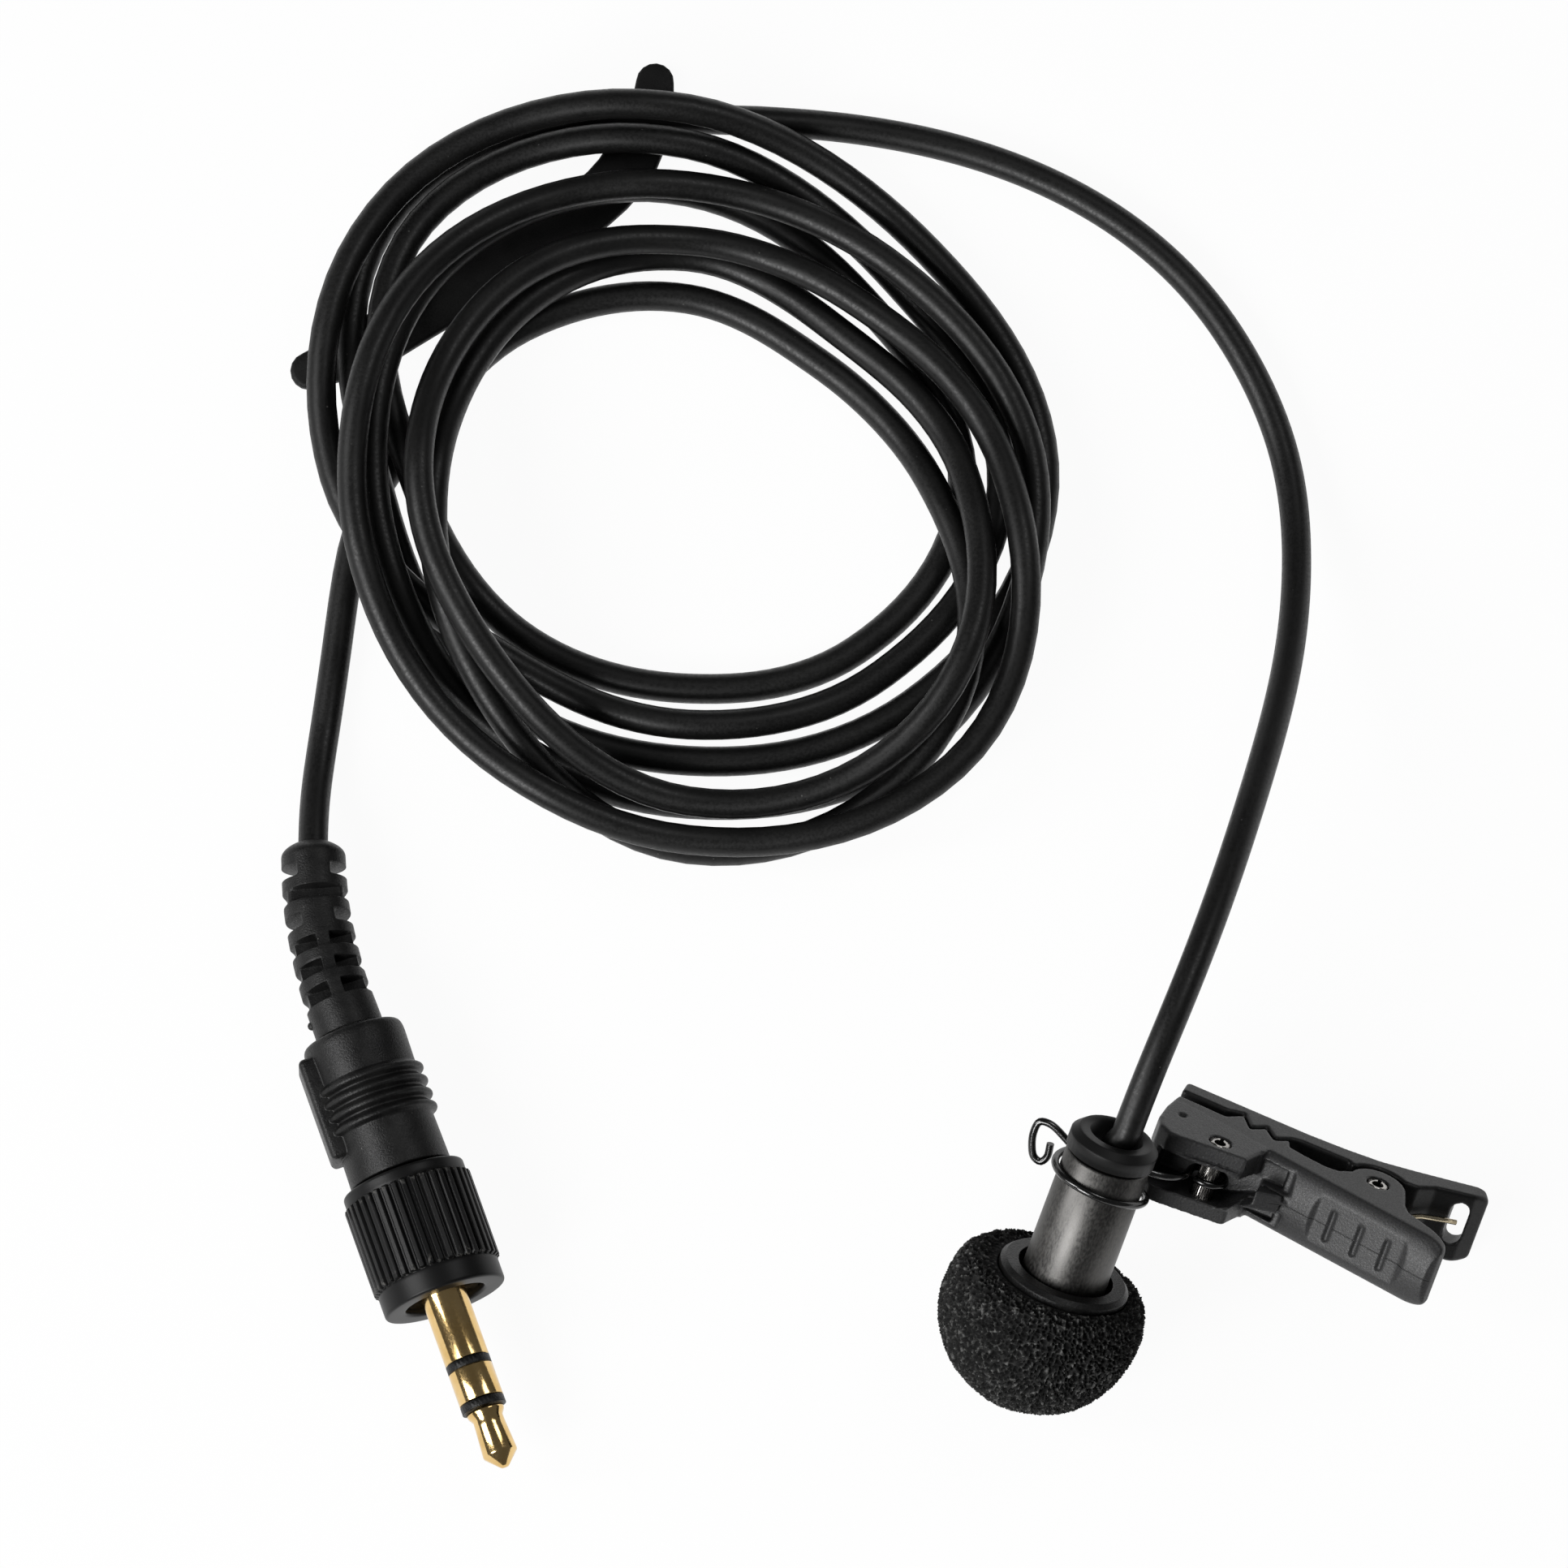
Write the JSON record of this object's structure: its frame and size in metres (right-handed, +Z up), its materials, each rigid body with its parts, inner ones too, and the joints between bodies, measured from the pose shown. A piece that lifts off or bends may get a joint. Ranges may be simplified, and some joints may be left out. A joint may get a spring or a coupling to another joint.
{
  "type": "lavalier microphone",
  "caption": "Clip-on lavalier microphone with foam windscreen, sprung toothed clip on a wire holder, coiled cord with tie strap and a locking mini plug.",
  "frame": {"origin": "on the table under the middle of the microphone and its clip", "axes": "+Z up from the table, +Y towards the coiled cord, +X towards the clip's tail"},
  "size_m": [0.0924, 0.1118, 0.0227],
  "materials": {
    "satin_gunmetal": "satin dark anodised",
    "dark_screen": "dark plated",
    "capsule_metal": "bright turned",
    "gold": "polished gold plate",
    "board": "green solder mask",
    "black_rubber": "matte",
    "black_moulding": "fine grained black",
    "foam": "open-cell black foam",
    "black_nickel": "glossy black nickel wire",
    "clip_nylon": "dark grey nylon, grained",
    "steel_pin": "bright rolled pin",
    "spring_wire": "yellowish spring wire",
    "cord_jacket": "matte black jacket",
    "strap": "matte black strap",
    "relief_rubber": "matte black moulding",
    "ring_plastic": "semi-gloss black, knurled"
  },
  "bodies": {
    "microphone": {"mic_body_tube": "satin_gunmetal", "front_screen": "dark_screen", "capsule_can": "capsule_metal", "capsule_diaphragm": "capsule_metal", "capsule_backplate": "gold", "capsule_board": "board", "capsule_seat": "black_rubber", "cable_crimp": "capsule_metal", "rear_bush": "black_moulding", "cable_mic_lead": "cord_jacket", "cable_coil": "cord_jacket", "cable_plug_lead": "cord_jacket", "cable_tie": "strap", "bend_relief": "relief_rubber", "plug_body": "black_moulding", "sleeve_contact": "gold", "outer_insulator": "black_moulding", "ring_contact": "gold", "inner_insulator": "black_moulding", "tip_contact": "gold"},
    "windscreen": {"windscreen_foam": "foam", "windscreen_collar": "black_moulding"},
    "holder": {"holder_wire": "black_nickel"},
    "clip": {"clip_base": "clip_nylon", "holder_pin": "steel_pin", "jaw_pin": "steel_pin", "jaw_spring": "spring_wire"},
    "jaw": {"clip_jaw": "clip_nylon"},
    "lock_ring": {"lock_ring": "ring_plastic"}
  },
  "joints": [
    {"name": "holder_turn", "type": "hinge", "parent": "microphone", "child": "holder", "pos_m": [-0.0088, 0.00344, 0.01579], "axis": [0.3159, 0.7231, 0.6143], "continuous": true},
    {"name": "clip_swivel", "type": "hinge", "parent": "holder", "child": "clip", "pos_m": [-0.00071, 0.00473, 0.01011], "axis": [0.3159, 0.7231, 0.6143], "range_deg": [-40, 45]},
    {"name": "jaw_pivot", "type": "hinge", "parent": "clip", "child": "jaw", "pos_m": [0.01132, 0.00229, 0.00679], "axis": [-0.3159, -0.7231, -0.6143], "range_deg": [0, 18], "stiffness_Nm_per_rad": 0.004, "springref_deg": -28.65, "deforming": ["jaw_spring"]},
    {"name": "windscreen_pull", "type": "slide", "parent": "microphone", "child": "windscreen", "axis": [-0.3159, -0.7231, -0.6143], "range_m": [0, 0.018]},
    {"name": "lock_ring_spin", "type": "hinge", "parent": "microphone", "child": "lock_ring", "pos_m": [-0.05875, -0.00365, 0.00505], "axis": [0.3289, -0.9444, 0], "continuous": true}
  ]
}
